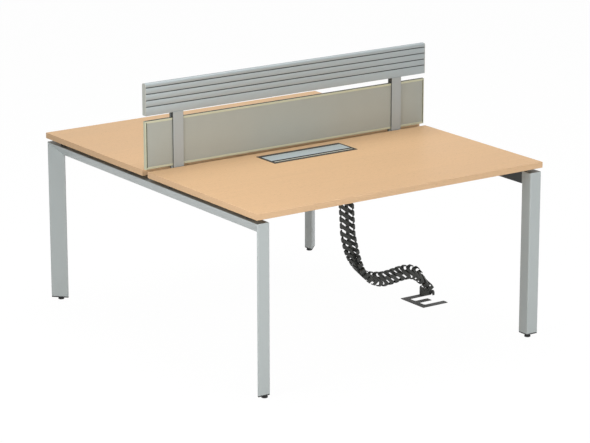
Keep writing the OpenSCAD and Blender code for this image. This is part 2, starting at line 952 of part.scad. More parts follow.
module tool_rail() {
    color([0.68, 0.71, 0.7])
        difference() {
            along_x(rail_l)
                difference() {
                    union() {
                        rail_half_section();
                        mirror([1, 0])
                            rail_half_section();
                    }
                    rail_hollow();
                }
            for (sx = [-1, 1])
                block([sx * post_x - tongue_w / 2 - fit_gap, -chamber_half, rail_z - over],
                    [sx * post_x + tongue_w / 2 + fit_gap, chamber_half, rail_z + chamber_floor + over]);
        }
}

// end plate of the rail with a plug in its chamber
module tool_rail_cap(sx) {
    half = chamber_half - fit_gap;
    color([0.72, 0.73, 0.71])
        quarter(sx, 1) {
            translate([rail_l / 2, 0, 0])
                rotate([90, 0, 90])
                    linear_extrude(rail_cap_t)
                        intersection() {
                            translate([-toolrail_t / 2, rail_z])
                                square([toolrail_t, toolrail_h]);
                            union() {
                                translate([-toolrail_t / 2, rail_z])
                                    square([toolrail_t, toolrail_h - toolrail_round]);
                                translate([toolrail_round - toolrail_t / 2, rail_z])
                                    square([toolrail_t - 2 * toolrail_round, toolrail_h]);
                                for (s = [-1, 1])
                                    translate([s * (toolrail_t / 2 - toolrail_round),
                                        rail_top_z - toolrail_round])
                                        circle(r = toolrail_round);
                            }
                        }
            block([rail_l / 2 - rail_plug, -half, rail_z + chamber_floor + fit_gap],
                [rail_l / 2 + over, half, rail_top_z - chamber_top - fit_gap]);
        }
}

module tool_rail_cap_left() tool_rail_cap(-1);
module tool_rail_cap_right() tool_rail_cap(1);

// Cable flaps

// flanged frame in the cut-out, with ledges for the lid and the strip; rear top
module flap_frame(sy) {
    outer = flap_l / 2;
    inner = lid_half + lid_gap;
    floor_z = desk_h - skirt_h;
    rear = flap_back + flange_cover + cut_play;
    front = flap_far - flange_cover - cut_play;
    wall_in = skirt_half - skirt_t;
    color([0.13, 0.14, 0.13])
        quarter(1, sy)
            difference() {
                union() {
                    difference() {
                        union() {
                            block([-outer, flap_back, desk_h], [outer, flap_far, flap_top_z]);
                            block([-skirt_half, rear, floor_z], [skirt_half, front, flap_top_z]);
                        }
                        block([-inner, bay_rear, desk_h], [inner, bay_front, flap_top_z + over]);
                        block([-wall_in, rear + skirt_t, floor_z - over],
                            [wall_in, front - skirt_t, desk_h]);
                    }
                    // sill under the free edge of the lid
                    block([-skirt_half + over, lid_front - sill_w, ledge_z - ledge_t],
                        [skirt_half - over, lid_front, ledge_z]);
                    // ledges at both ends, lower under the strip
                    for (s = [-1, 1])
                        mirror([s < 0 ? 1 : 0, 0, 0]) {
                            block([wall_in - ledge_w, barrel_y + 2 * barrel_r, ledge_z - ledge_t],
                                [skirt_half - over, lid_front, ledge_z]);
                            block([wall_in - ledge_w, lid_front - over, floor_z],
                                [skirt_half - over, front - over, flap_top_z - strip_drop - strip_t]);
                        }
                }
                for (s = [-1, 1])
                    translate([s * skirt_half, barrel_y, barrel_z])
                        rotate([0, -90 * s, 0])
                            translate([0, 0, -over])
                                cylinder(r = pin_r + run_gap, h = skirt_t + ledge_w + over);
            }
}

// lid plate with its hinge barrel and the bores for the pins
module flap_lid(sy) {
    color([0.7, 0.73, 0.72])
        quarter(1, sy)
            difference() {
                union() {
                    block([-lid_half, barrel_y, ledge_z], [lid_half, lid_front, flap_top_z]);
                    translate([-lid_half, barrel_y, barrel_z])
                        rotate([0, 90, 0])
                            cylinder(r = barrel_r, h = 2 * lid_half);
                }
                for (s = [-1, 1])
                    translate([s * (lid_half - pin_bite - fit_gap), barrel_y, barrel_z])
                        rotate([0, 90 * s, 0])
                            cylinder(r = pin_r + run_gap, h = pin_bite + fit_gap + over);
            }
}

// strip between the two cable slots
module flap_strip(sy) {
    half = skirt_half - skirt_t - strip_end_gap;
    top = flap_top_z - strip_drop;
    color([0.6, 0.63, 0.62])
        quarter(1, sy)
            block([-half, lid_front + flap_slot, top - strip_t],
                [half, lid_front + flap_slot + strip_w, top]);
}

module flap_pins(sy) {
    color([0.75, 0.75, 0.76])
        quarter(1, sy)
            for (s = [-1, 1])
                translate([s * (lid_half - pin_bite), barrel_y, barrel_z])
                    rotate([0, 90 * s, 0])
                        cylinder(r = pin_r, h = pin_bite + skirt_half - lid_half - cut_play);
}

module flap_frame_front() flap_frame(-1);
module flap_lid_front() flap_lid(-1);
module flap_strip_front() flap_strip(-1);
module flap_pins_front() flap_pins(-1);
module flap_frame_rear() flap_frame(1);
module flap_lid_rear() flap_lid(1);
module flap_strip_rear() flap_strip(1);
module flap_pins_rear() flap_pins(1);

// Cable spine

// extrudes an outline drawn in (x, z) from y0 to y1
module across(y0, y1) {
    translate([0, y1, 0])
        rotate([90, 0, 0])
            linear_extrude(y1 - y0)
                children();
}

// cross-section of a link: a core between two chambers, which open to opposite sides so
// that cables can be laid in
module link_section() {
    half = link_w / 2;
    deep = link_d / 2;
    in_x = half - link_t;
    in_y = deep - link_t;
    cut = link_corner - link_t * (2 - sqrt(2));
    difference() {
        polygon([[-half, link_corner - deep], [link_corner - half, -deep],
            [half - link_corner, -deep], [half, link_corner - deep],
            [half, deep - link_corner], [half - link_corner, deep],
            [link_corner - half, deep], [-half, deep - link_corner]]);
        for (turn = [0, 180])
            rotate(turn)
                polygon([[core_half, -deep - over], [half - link_corner - lip, -deep - over],
                    [half - link_corner - lip, -in_y], [in_x - cut, -in_y],
                    [in_x, cut - in_y], [in_x, in_y - cut], [in_x - cut, in_y],
                    [core_half, in_y]]);
    }
}

// side view of a link: one side stands higher than the other, with cut corners
module link_outline() {
    half = link_w / 2;
    rise = link_h / 2;
    inner = half - lobe_corner;
    polygon([[-half, link_step - rise + lobe_corner], [-inner, link_step - rise],
        [-flat_half, link_step - rise], [flat_half, -link_step - rise],
        [inner, -link_step - rise], [half, lobe_corner - link_step - rise],
        [half, rise - link_step - lobe_corner], [inner, rise - link_step],
        [flat_half, rise - link_step], [-flat_half, rise + link_step],
        [-inner, rise + link_step], [-half, rise + link_step - lobe_corner]]);
}

// ball whose centre is the origin, with a flat foot, on a neck that ends at the height given
module ball(height) {
    intersection() {
        sphere(r = ball_r);
        translate([0, 0, ball_flat - ball_r])
            cylinder(r = 2 * ball_r, h = 2 * ball_r);
    }
    cylinder(r = neck_r, h = height);
}

// cuts the seat of a ball whose centre is at the origin, and frees the rim of its collar
module ball_seat() {
    translate([0, 0, -ball_r - fit_gap])
        cylinder(r = ball_r + fit_gap, h = link_pitch);
    translate([0, 0, seat_rise])
        cylinder(r = collar_r + collar_room, h = link_pitch);
}

// one link, midway between its joints, with its seat at the top and its ball below
module spine_link() {
    top = link_pitch / 2;
    reach = link_h / 2 + link_step + over;
    difference() {
        union() {
            intersection() {
                translate([0, 0, -reach])
                    linear_extrude(2 * reach)
                        link_section();
                across(-link_d, link_d)
                    link_outline();
            }
            cylinder(r = collar_r, h = top + seat_rise);
        }
        translate([0, 0, top])
            ball_seat();
        translate([0, 0, -reach])
            cylinder(r = collar_r + collar_room, h = reach - top + neck_room);
    }
    translate([0, 0, -top])
        ball(neck_room + over);
}

module spine_links() {
    color([0.17, 0.18, 0.17])
        for (i = [0:spine_links - 1])
            translate([pivot_x(i), -spine_y, pivot_z(i)])
                rotate([0, -lean(i), 0])
                    translate([0, 0, -link_pitch / 2])
                        rotate([0, 0, twist(i)])
                            spine_link();
}

// flange under the tray, with a bar across its passage that holds the top ball
module spine_bracket() {
    color([0.17, 0.18, 0.17])
        difference() {
            translate([pivot_x_top, -spine_y, 0]) {
                difference() {
                    block([-passage_w / 2 - flange_out, -passage_d / 2 - flange_out, tray_z - bracket_t],
                        [passage_w / 2 + flange_out, passage_d / 2 + flange_out, tray_z]);
                    for (s = [-1, 1])
                        mirror([s < 0 ? 1 : 0, 0, 0])
                            block([core_half, -passage_d / 2, tray_z - bracket_t - over],
                                [passage_w / 2, passage_d / 2, tray_z + over]);
                }
                translate([0, 0, pivot_z_top])
                    ball(tray_z - bracket_t / 2 - pivot_z_top);
                translate([0, 0, pivot_z_top + collar_r])
                    cylinder(r = core_half - over, h = tray_z - bracket_t / 2 - pivot_z_top - collar_r);
            }
            bracket_screw_places()
                translate([0, 0, tray_z - bracket_t - over])
                    cylinder(r = bracket_screw_r + hole_gap, h = bracket_t + 2 * over);
        }
}

// block on the floor plate with the section of a link; its neck leans towards the last
// link and holds the last ball
module spine_foot() {
    half = link_w / 2;
    top = plate_t + foot_rise;
    color([0.17, 0.18, 0.17])
        translate([spine_x, -spine_y, 0])
            difference() {
                union() {
                    rotate([0, 0, hang_twist])
                        intersection() {
                            translate([0, 0, plate_t])
                                linear_extrude(foot_rise)
                                    link_section();
                            across(-link_d, link_d)
                                polygon([[-half, plate_t], [half, plate_t],
                                    [half, top - 2 * foot_step - lobe_corner],
                                    [half - lobe_corner, top - 2 * foot_step],
                                    [flat_half, top - 2 * foot_step], [0, top - foot_step],
                                    [-flat_half, top], [lobe_corner - half, top],
                                    [-half, top - lobe_corner]]);
                        }
                    translate([0, 0, plate_t])
                        cylinder(r = collar_r, h = foot_rise - foot_step);
                    translate([0, 0, foot_pivot_h])
                        rotate([0, -foot_lean, 0])
                            translate([0, 0, -foot_neck])
                                cylinder(r = collar_r, h = foot_neck + seat_rise);
                }
                translate([0, 0, foot_pivot_h])
                    rotate([0, -foot_lean, 0])
                        ball_seat();
            }
}

// fork that lies on the floor: a bar and three arms, the rear one under the spine's foot
module floor_plate() {
    bar_x = spine_x - plate_reach;
    back = plate_back - spine_y;
    depth = 3 * arm_w + 2 * arm_gap;
    step = arm_w + arm_gap;
    reaches = [plate_reach + rear_reach - plate_bar, middle_arm, near_arm];
    color([0.28, 0.28, 0.28])
        linear_extrude(plate_t)
            difference() {
                union() {
                    translate([bar_x, back - depth])
                        square([plate_bar + slot_r, depth]);
                    for (i = [0:2])
                        translate([bar_x, back - arm_w - i * step])
                            square([plate_bar + reaches[i], arm_w]);
                }
                for (i = [1:2])
                    translate([bar_x + plate_bar, back - i * step])
                        slot_end();
            }
}

// closed end of a slot, with two rounded corners
module slot_end() {
    translate([0, slot_r])
        square([slot_r + over, arm_gap - 2 * slot_r]);
    for (y = [slot_r, arm_gap - slot_r])
        translate([slot_r, y])
            circle(r = slot_r);
}

desktop_front();
desktop_rear();
edge_band_front();
edge_band_rear();
leg_front_left();
leg_front_right();
leg_rear_left();
leg_rear_right();
end_beam_left();
end_beam_right();
leg_end_caps();
foot_front_left();
foot_front_right();
foot_rear_left();
foot_rear_right();
desktop_spacers();
stretcher_front_outer();
stretcher_front_inner();
stretcher_rear_inner();
stretcher_rear_outer();
stretcher_end_plates();
stretcher_bolts();
stretcher_screws();
cable_tray();
tray_screws();
post_left_front();
post_left_rear();
post_right_front();
post_right_rear();
post_lower_cores();
post_upper_cores();
post_bridges();
post_bolts();
post_pins();
bridge_bolts();
panel_board();
panel_fabric_front();
panel_fabric_rear();
panel_frame_top();
panel_frame_bottom();
panel_frame_ends();
tool_rail();
tool_rail_cap_left();
tool_rail_cap_right();
flap_frame_front();
flap_lid_front();
flap_strip_front();
flap_pins_front();
flap_frame_rear();
flap_lid_rear();
flap_strip_rear();
flap_pins_rear();
spine_bracket();
spine_links();
spine_foot();
floor_plate();
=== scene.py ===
"""Looks of the two-person bench desk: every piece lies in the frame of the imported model.

Metres. X runs along the desk, -Y is the near user's side and Z is up.
"""

import bmesh
import bpy
import numpy as np
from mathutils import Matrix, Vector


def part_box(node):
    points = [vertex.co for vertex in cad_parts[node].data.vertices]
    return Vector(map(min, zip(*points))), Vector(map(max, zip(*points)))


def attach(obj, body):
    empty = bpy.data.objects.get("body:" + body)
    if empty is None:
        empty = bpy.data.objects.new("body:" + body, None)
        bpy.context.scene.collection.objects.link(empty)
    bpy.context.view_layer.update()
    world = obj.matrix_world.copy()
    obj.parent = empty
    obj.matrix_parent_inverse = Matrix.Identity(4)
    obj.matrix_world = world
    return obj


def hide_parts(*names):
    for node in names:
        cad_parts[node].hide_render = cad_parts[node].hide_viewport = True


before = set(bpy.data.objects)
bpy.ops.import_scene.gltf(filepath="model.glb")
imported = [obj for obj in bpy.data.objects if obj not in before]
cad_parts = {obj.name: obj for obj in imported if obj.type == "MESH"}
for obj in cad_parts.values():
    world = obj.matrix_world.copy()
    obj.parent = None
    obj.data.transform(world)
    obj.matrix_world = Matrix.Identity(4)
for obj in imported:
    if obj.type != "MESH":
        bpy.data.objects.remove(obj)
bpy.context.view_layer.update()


# Tops: two boards of particle board with a light beech laminate on both faces. A beech
# edge band is glued round each one, its outer arrises rounded over, so the joint shows as
# a fine line just inside the edge.

def tint(red, green, blue):
    """A colour as it reads on a screen, 0 to 255, turned into the linear values of a shader.

    With c the value over 255, c / 12.92 up to 0.04045 and ((c + 0.055) / 1.055) ** 2.4 above it.
    """
    c = np.array([red, green, blue]) / 255
    return (*np.where(c <= 0.04045, c / 12.92, ((c + 0.055) / 1.055) ** 2.4), 1.0)


def maths(tree, operation, *values):
    """A math node on numbers and sockets; returns its result."""
    node = tree.nodes.new("ShaderNodeMath")
    node.operation = operation
    for socket, value in zip(node.inputs, values):
        if isinstance(value, (int, float)):
            socket.default_value = value
        else:
            tree.links.new(value, socket)
    return node.outputs[0]


def ramp(tree, value, start, end, low=0, high=1):
    """Takes a value from the range start to end into the range low to high, and stops there."""
    node = tree.nodes.new("ShaderNodeMapRange")
    for label, limit in (("From Min", start), ("From Max", end), ("To Min", low), ("To Max", high)):
        node.inputs[label].default_value = limit
    tree.links.new(value, node.inputs["Value"])
    return node.outputs["Result"]


def stretched_noise(tree, scale, detail):
    """Noise on the piece's own coordinates times a scale, which is three numbers or a socket."""
    stretch = tree.nodes.new("ShaderNodeVectorMath")
    stretch.operation = "MULTIPLY"
    tree.links.new(tree.nodes.new("ShaderNodeTexCoord").outputs["Object"], stretch.inputs[0])
    if isinstance(scale, tuple):
        stretch.inputs[1].default_value = scale
    else:
        tree.links.new(scale, stretch.inputs[1])
    noise = tree.nodes.new("ShaderNodeTexNoise")
    noise.inputs["Scale"].default_value = 1
    noise.inputs["Detail"].default_value = detail
    tree.links.new(stretch.outputs[0], noise.inputs["Vector"])
    return noise.outputs["Fac"]


def speckle_group():
    """Noise at two sizes over a colour.

    The fine noise is stretched by Fine scale, so that it reads as grain, brushing or the
    texture of a mould; the broad one is a slow drift of tone. Shade = 1 + spread * (noise - 0.5).
    """
    tree = bpy.data.node_groups.new("tone_and_texture", "ShaderNodeTree")
    for label, kind, value in (
        ("Color", "NodeSocketColor", (0.5, 0.5, 0.5, 1)),
        ("Fine scale", "NodeSocketVector", (800, 800, 800)),
        ("Fine spread", "NodeSocketFloat", 0.1),
        ("Broad scale", "NodeSocketVector", (3, 3, 3)),
        ("Broad spread", "NodeSocketFloat", 0.05),
    ):
        socket = tree.interface.new_socket(label, in_out="INPUT", socket_type=kind)
        socket.default_value = value
    for label, kind in (("Color", "NodeSocketColor"), ("Height", "NodeSocketFloat"),
                        ("Drift", "NodeSocketFloat")):
        tree.interface.new_socket(label, in_out="OUTPUT", socket_type=kind)
    inlet, outlet = tree.nodes.new("NodeGroupInput"), tree.nodes.new("NodeGroupOutput")
    shades = []
    for size, detail, output in (("Fine", 4, "Height"), ("Broad", 2, "Drift")):
        noise = stretched_noise(tree, inlet.outputs[size + " scale"], detail)
        centred = maths(tree, "SUBTRACT", noise, 0.5)
        shades.append(maths(tree, "MULTIPLY_ADD", centred, inlet.outputs[size + " spread"], 1))
        tree.links.new(noise, outlet.inputs[output])
    toned = tree.nodes.new("ShaderNodeVectorMath")
    toned.operation = "SCALE"
    tree.links.new(inlet.outputs["Color"], toned.inputs[0])
    tree.links.new(maths(tree, "MULTIPLY", *shades), toned.inputs["Scale"])
    tree.links.new(toned.outputs[0], outlet.inputs["Color"])
    return tree


tone_and_texture = speckle_group()


def finish(name, colour, roughness, fine, broad, relief, metallic=0.0, specular=0.5):
    """A material from the tone_and_texture group.

    fine and broad are each a pair: the scale of the noise, one number or one for each axis, and
    the spread of the tone. relief is the depth of the texture in metres.
    Roughness = roughness + gloss_drift * (drift - 0.5).
    """
    gloss_drift = 0.08
    material = bpy.data.materials.new(name)
    material.use_nodes = True
    tree = material.node_tree
    shader = tree.nodes["Principled BSDF"]
    shader.inputs["Metallic"].default_value = metallic
    shader.inputs["Specular IOR Level"].default_value = specular
    surface = tree.nodes.new("ShaderNodeGroup")
    surface.node_tree = tone_and_texture
    surface.inputs["Color"].default_value = tint(*colour)
    for size, (scale, spread) in (("Fine", fine), ("Broad", broad)):
        if np.isscalar(scale):
            scale = (scale,) * 3
        surface.inputs[size + " scale"].default_value = scale
        surface.inputs[size + " spread"].default_value = spread
    tree.links.new(surface.outputs["Color"], shader.inputs["Base Color"])
    rough = maths(tree, "MULTIPLY_ADD", surface.outputs["Drift"], gloss_drift,
                  roughness - gloss_drift / 2)
    tree.links.new(rough, shader.inputs["Roughness"])
    bump = tree.nodes.new("ShaderNodeBump")
    bump.name = "relief"
    bump.inputs["Strength"].default_value = 1
    bump.inputs["Distance"].default_value = relief
    tree.links.new(surface.outputs["Height"], bump.inputs["Height"])
    tree.links.new(bump.outputs["Normal"], shader.inputs["Normal"])
    return material


def veil(material, factor, colour):
    """Covers a material's colour with another one, fully where the factor socket is 1."""
    tree = material.node_tree
    shown = tree.nodes["Principled BSDF"].inputs["Base Color"]
    covered = tree.nodes.new("ShaderNodeMix")
    covered.data_type = "RGBA"
    covered.inputs["B"].default_value = tint(*colour)
    tree.links.new(factor, covered.inputs["Factor"])
    tree.links.new(shown.links[0].from_socket, covered.inputs["A"])
    tree.links.new(covered.outputs["Result"], shown)


def beech(name, colour, pore_depth):
    """Beech laminate: long soft streaks along X, short dark flecks, and a satin lacquer.

    The flecks are a stretched noise cut off above a threshold, and darken the streaks.
    """
    material = finish(name, colour, roughness=0.4, fine=((2.2, 120, 120), 0.1),
                      broad=((0.9, 7, 7), 0.06), relief=0.00003, specular=0.04)
    flecks = stretched_noise(material.node_tree, (55, 900, 900), detail=1)
    pores = ramp(material.node_tree, flecks, start=0.6, end=0.78, high=pore_depth)
    pore_shade = 0.72
    veil(material, pores, (c * pore_shade for c in colour))
    return material


def dress(material, *names):
    """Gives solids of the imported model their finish."""
    for name in names:
        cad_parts[name].data.materials.clear()
        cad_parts[name].data.materials.append(material)


def quads(count_u, count_v, wrap_u, wrap_v):
    """Faces between neighbours of a grid of points. Where it wraps, its last row or column is
    joined to the first."""
    index = np.arange(count_u * count_v).reshape(count_u, count_v)
    if wrap_u:
        index = np.vstack([index, index[:1]])
    if wrap_v:
        index = np.hstack([index, index[:, :1]])
    corners = [index[:-1, :-1], index[1:, :-1], index[1:, 1:], index[:-1, 1:]]
    return np.stack(corners, -1).reshape(-1, 4)


def piece(name, parts, material, body, nodes, bevel=0.0, segments=2, sharp=35):
    """One object from a list of (points, faces), with its faces outwards, its arrises eased by
    bevel and edges sharper than the angle kept crisp. It rides on body and replaces the nodes."""
    points, faces, first = [], [], 0
    for part_points, part_faces in parts:
        part_points = np.asarray(part_points, float).reshape(-1, 3)
        points.append(part_points)
        faces += [[int(i) + first for i in face] for face in part_faces]
        first += len(part_points)
    mesh = bpy.data.meshes.new(name)
    mesh.from_pydata(np.vstack(points).tolist(), [], faces)
    shell = bmesh.new()
    shell.from_mesh(mesh)
    bmesh.ops.recalc_face_normals(shell, faces=shell.faces)
    shell.to_mesh(mesh)
    shell.free()
    mesh.polygons.foreach_set("use_smooth", np.ones(len(mesh.polygons), bool))
    mesh.set_sharp_from_angle(angle=np.radians(sharp))
    mesh.materials.append(material)
    obj = bpy.data.objects.new(name, mesh)
    bpy.context.scene.collection.objects.link(obj)
    if bevel:
        ease = obj.modifiers.new("eased_arrises", "BEVEL")
        ease.width = bevel
        ease.segments = segments
        ease.limit_method = "ANGLE"
        ease.angle_limit = np.radians(40)
        ease.harden_normals = True
    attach(obj, body)
    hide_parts(*nodes)
    return obj


def ring(section):
    """A closed frame: each row of section is (x low, x high, y low, y high, z), the rectangle on
    which one corner of the profile runs. The rows go once round the profile."""
    x0, x1, y0, y1, z = np.asarray(section, float).T
    grid = np.stack([np.stack([x0, y0, z], -1), np.stack([x1, y0, z], -1),
                     np.stack([x1, y1, z], -1), np.stack([x0, y1, z], -1)], 1)
    return grid.reshape(-1, 3), quads(len(section), 4, True, True)


def arc(centre, radius, start, end, steps):
    """Points of an arc: centre + radius * (cos t, sin t), with t from start to end in degrees."""
    t = np.radians(np.linspace(start, end, steps + 1))
    return np.stack([centre[0] + radius * np.cos(t), centre[1] + radius * np.sin(t)], -1)


laminate = beech("beech_laminate", (233, 193, 149), pore_depth=0.5)
dress(laminate, "desktop_front", "desktop_rear")

band_wood = beech("beech_edge_band", (234, 196, 155), pore_depth=0.35)
band_round = 0.0016
for side in ("front", "rear"):
    low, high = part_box("edge_band_" + side)
    band_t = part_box("desktop_" + side)[0].x - low.x
    # profile from the top's face over the rounded arrises to its underside: the distance
    # inwards from the outer face, and the height
    profile = [(band_t, high.z),
               *arc((band_round, high.z - band_round), band_round, 90, 180, 4),
               *arc((band_round, low.z + band_round), band_round, 180, 270, 4),
               (band_t, low.z)]
    section = [(low.x + d, high.x - d, low.y + d, high.y - d, z) for d, z in profile]
    piece("rounded_band_" + side, [ring(section)], band_wood, "desk",
          ["edge_band_" + side])


# End frames: portals of triangular steel tube, mitred and welded at the corners and coated
# with a silver-grey powder. Black mouldings close the legs, and a threaded foot under each
# one takes up an uneven floor.

silver = finish("silver_powder_coat", (190, 197, 196), roughness=0.42, fine=(1400, 0.05),
                broad=(2.5, 0.03), relief=0.00004)
dress(silver, "leg_front_left", "leg_front_right", "leg_rear_left", "leg_rear_right",
      "stretcher_front_outer", "stretcher_front_inner", "stretcher_rear_inner",
      "stretcher_rear_outer", "stretcher_end_plates", "cable_tray", "post_bridges",
      "post_lower_cores")


def place_on(tree):
    """The piece's own coordinates of a point, as three sockets."""
    split = tree.nodes.new("ShaderNodeSeparateXYZ")
    tree.links.new(tree.nodes.new("ShaderNodeTexCoord").outputs["Object"], split.inputs[0])
    return split.outputs


# The slanting face of a beam gets painted shade between the legs, where the tops shade it:
# there the normal and the place point opposite ways along X. Its upper face, under the tops,
# gets a darker grey, painted shade as well.
opposed, upwards = -0.3, 0.7
beam_coat_painted_shade = silver.copy()
beam_coat_painted_shade.name = "beam_powder_coat_painted_shade"
tree = beam_coat_painted_shade.node_tree
place = place_on(tree)
normal = tree.nodes.new("ShaderNodeSeparateXYZ")
geometry = tree.nodes.new("ShaderNodeNewGeometry")
tree.links.new(geometry.outputs["True Normal"], normal.inputs[0])
facing = maths(tree, "MULTIPLY", normal.outputs["X"], place["X"])
slanting = maths(tree, "LESS_THAN", facing, opposed)
leg_inner_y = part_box("leg_rear_left")[0].y
between_legs = maths(tree, "LESS_THAN", maths(tree, "ABSOLUTE", place["Y"]), leg_inner_y)
veil(beam_coat_painted_shade, maths(tree, "MULTIPLY", slanting, between_legs), (44, 48, 46))
veil(beam_coat_painted_shade, maths(tree, "GREATER_THAN", normal.outputs["Z"], upwards), (118, 121, 118))
dress(beam_coat_painted_shade, "end_beam_left", "end_beam_right")

black = finish("black_moulding", (38, 38, 38), roughness=0.55, fine=(2600, 0.3), broad=(9, 0.1),
               relief=0.00006)
dress(black, "leg_end_caps", "desktop_spacers")


def turned(profile, centre, sides=48):
    """A solid of revolution about a vertical axis: each row of profile is (radius, height), and
    is carried round as centre + radius * (cos t, sin t) at that height."""
    radius, height = np.asarray(profile, float).T[:, :, None]
    t = np.linspace(0, 2 * np.pi, sides, endpoint=False)
    grid = np.stack([centre.x + radius * np.cos(t), centre.y + radius * np.sin(t),
                     np.broadcast_to(height, (len(profile), sides))], -1)
    last = (len(profile) - 1) * sides
    faces = quads(len(profile), sides, False, True).tolist()
    return grid.reshape(-1, 3), faces + [list(range(sides)), list(range(last, last + sides))]


pad_h, stem_r = 0.009, 0.00395
thread_pitch, thread_depth, thread_start, thread_end = 0.00125, 0.0006, 0.0004, 0.0006
neck_w, neck_h, tip_in = 0.0012, 0.0001, 0.001
# the pad from the floor up: distance in from its rim, and height
pad_rim = [(0.0012, 0), (0.0003, 0.0006), (0, 0.0015), (0, 0.0052), (0.0005, 0.006),
           (0.0023, 0.0084), (0.003, pad_h)]
for name in ("foot_front_left", "foot_front_right", "foot_rear_left", "foot_rear_right"):
    low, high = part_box(name)
    pad_r = (high.x - low.x) / 2
    # thread as a row of ridges, half a pitch apart from crest to root
    heights = np.arange(pad_h + thread_start, high.z - thread_end, thread_pitch / 2)
    ridges = [(stem_r - thread_depth * (i % 2), z) for i, z in enumerate(heights)]
    profile = [*((pad_r - inset, z) for inset, z in pad_rim),
               (stem_r + neck_w, pad_h), (stem_r - thread_depth, pad_h + neck_h), *ridges,
               (stem_r - tip_in, high.z)]
    piece(name + "_turned", [turned(profile, (low + high) / 2)], black, name,
          [name], sharp=30)

# zinc plated bolts, screws and pins
zinc = finish("zinc_plate", (176, 178, 182), roughness=0.32, fine=(900, 0.12), broad=(60, 0.08),
              relief=0.00002, metallic=0.85)
dress(zinc, "stretcher_bolts", "stretcher_screws", "tray_screws", "post_bolts", "post_pins",
      "bridge_bolts", "flap_pins_front", "flap_pins_rear")


# Screen: a board with cloth stretched over both faces, held in a thin pale frame that is
# mitred at the corners. The cloth is tucked into the frame's groove, so it turns in along
# its edges.

board = finish("raw_fibreboard", (150, 126, 92), roughness=0.8, fine=(300, 0.2), broad=(8, 0.06),
               relief=0.0001)
dress(board, "panel_board")


def woven(name, colour, pitch):
    """Plain weave: two sets of rounded threads at right angles, each over and under the other.

    With a and b the phases along X and Z, the height is max(|sin a|, |sin b|) plus
    0.4 sin(a / 2) sin(b / 2), which takes the warp and the weft on top by turns. The valleys
    between threads are darkened with painted shade.
    """
    material = finish(name, colour, roughness=0.85, fine=(420, 0.16), broad=(12, 0.06),
                      relief=0.0003, specular=0.15)
    tree = material.node_tree
    place = place_on(tree)
    threads, turns = [], []
    for along in ("X", "Z"):
        phase = maths(tree, "MULTIPLY", place[along], np.pi / pitch)
        threads.append(maths(tree, "ABSOLUTE", maths(tree, "SINE", phase)))
        turns.append(maths(tree, "SINE", maths(tree, "MULTIPLY", phase, 0.5)))
    turn = maths(tree, "MULTIPLY", maths(tree, "MULTIPLY", *turns), 0.4)
    height = maths(tree, "ADD", maths(tree, "MAXIMUM", *threads), turn)
    bump = tree.nodes["relief"]
    bump.inputs["Strength"].default_value = 0.8
    tree.links.new(height, bump.inputs["Height"])
    # painted shade, darkest in the valleys between threads
    valleys = ramp(tree, height, start=0.1, end=0.9, low=0.45, high=0)
    valley_shade = 0.8
    veil(material, valleys, (c * valley_shade for c in colour))
    tree.nodes["Principled BSDF"].inputs["Sheen Weight"].default_value = 0.15
    return material


def stretched_cloth(low, high, out):
    """A cloth between the corners of its box, on a grid of u along X and v up Z.

    It lies at the box's outer face less cloth_drop * (1 - rise). rise is 1, but within tuck of the
    nearest edge, e away, it is sin(pi / 2 * e / tuck). A faint slack between the pulls of the
    tucked edge adds slack_height * sin 41u * sin(pi * v) * sin(7v + 13u) * rise.
    """
    cloth_drop, tuck, slack_height = 0.0009, 0.014, 0.00012
    columns, rows = 141, 25
    wide, tall = high.x - low.x, high.z - low.z
    u, v = np.meshgrid(np.linspace(0, 1, columns), np.linspace(0, 1, rows), indexing="ij")
    edge = np.minimum(np.minimum(u, 1 - u) * wide, np.minimum(v, 1 - v) * tall)
    rise = np.sin(np.clip(edge / tuck, 0, 1) * np.pi / 2)
    slack = slack_height * np.sin(u * 41) * np.sin(v * np.pi) * np.sin(v * 7 + u * 13)
    face = max(abs(low.y), abs(high.y))
    y = out * (face - cloth_drop * (1 - rise) + slack * rise)
    points = np.stack([low.x + u * wide, y, low.z + v * tall], -1)
    return points, quads(columns, rows, False, False)


cloth = woven("screen_cloth", (182, 186, 178), pitch=0.0009)
for side, out in (("front", -1), ("rear", 1)):
    low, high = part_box("panel_fabric_" + side)
    sheet = piece("screen_cloth_" + side, [stretched_cloth(low, high, out)], cloth, "desk",
                  ["panel_fabric_" + side], sharp=60)
    if (np.mean([p.normal.y for p in sheet.data.polygons]) > 0) != (out > 0):
        sheet.data.flip_normals()


def second_finish(obj, material, chosen):
    """Gives another material to the faces for which chosen(centres, normals) is true; both come
    as rows of X, Y and Z."""
    polygons = obj.data.polygons
    obj.data.materials.append(material)
    centres, normals = np.empty((2, len(polygons) * 3), np.float32)
    polygons.foreach_get("center", centres)
    polygons.foreach_get("normal", normals)
    picked = chosen(centres.reshape(-1, 3).T, normals.reshape(-1, 3).T)
    polygons.foreach_set("material_index", picked.astype(np.int32))


# a face looks along an axis where that part of its normal is over square_on
square_on = 0.9

# The frame's profile is carried round the screen and cut at 45 degrees at the corners.
trim = finish("cream_trim", (204, 205, 178), roughness=0.45, fine=(900, 0.05), broad=(4, 0.03),
              relief=0.00003)
low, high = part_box("panel_frame_ends")
half = high.y
bead, base, groove = 0.009, 0.003, half - 0.0015
# the third number is where the painted shade on the upright beads starts, in from the outer face
eased, chamfer, shade_from = 0.0014, 0.0006, 0.0035
# corners of the profile's near half: distance inwards from the outer face, and across the
# thickness
near_half = np.vstack([
    [(bead, groove), (bead, half - chamfer), (bead - chamfer, half), (shade_from, half)],
    arc((half - eased, eased), eased, 0, -90, 4)[:, ::-1]])
d, w = np.vstack([near_half, near_half[::-1] * (1, -1), [(base, -groove), (base, groove)]]).T
corners = [(low.x, low.z, 1, 1), (high.x, low.z, -1, 1),
           (high.x, high.z, -1, -1), (low.x, high.z, 1, -1)]
grid = np.stack([np.stack([x + sx * d, w, z + sz * d], -1) for x, z, sx, sz in corners], 1)
screen_frame = piece(
    "screen_frame", [(grid, quads(len(d), 4, True, True))], trim, "desk",
    ["panel_frame_top", "panel_frame_bottom", "panel_frame_ends"])
